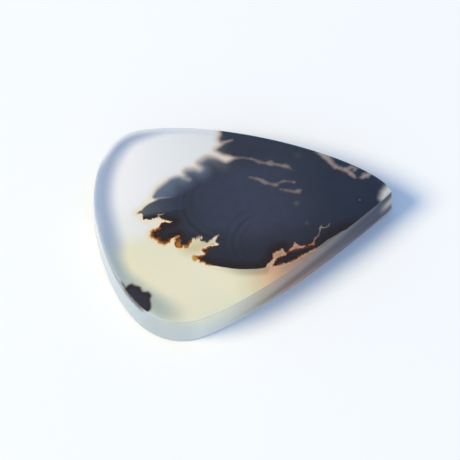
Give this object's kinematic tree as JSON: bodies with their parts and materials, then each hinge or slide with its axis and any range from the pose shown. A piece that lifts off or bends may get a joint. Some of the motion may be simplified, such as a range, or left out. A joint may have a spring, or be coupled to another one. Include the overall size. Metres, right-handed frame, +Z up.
{
  "type": "dendritic agate cabochon",
  "caption": "Pear-shaped polished agate cabochon with a flat base, upright girdle and low dome, milky stone with a dark mossy dendrite.",
  "frame": {"origin": "centre of the stone's plan box, on the flat base it rests on", "axes": "+X from the broad end to the tip, +Z up through the domed top, +Y across the stone"},
  "size_m": [0.04, 0.0306, 0.0059],
  "materials": {
    "agate": "polished"
  },
  "bodies": {
    "root": {"agate": "agate"}
  },
  "joints": []
}
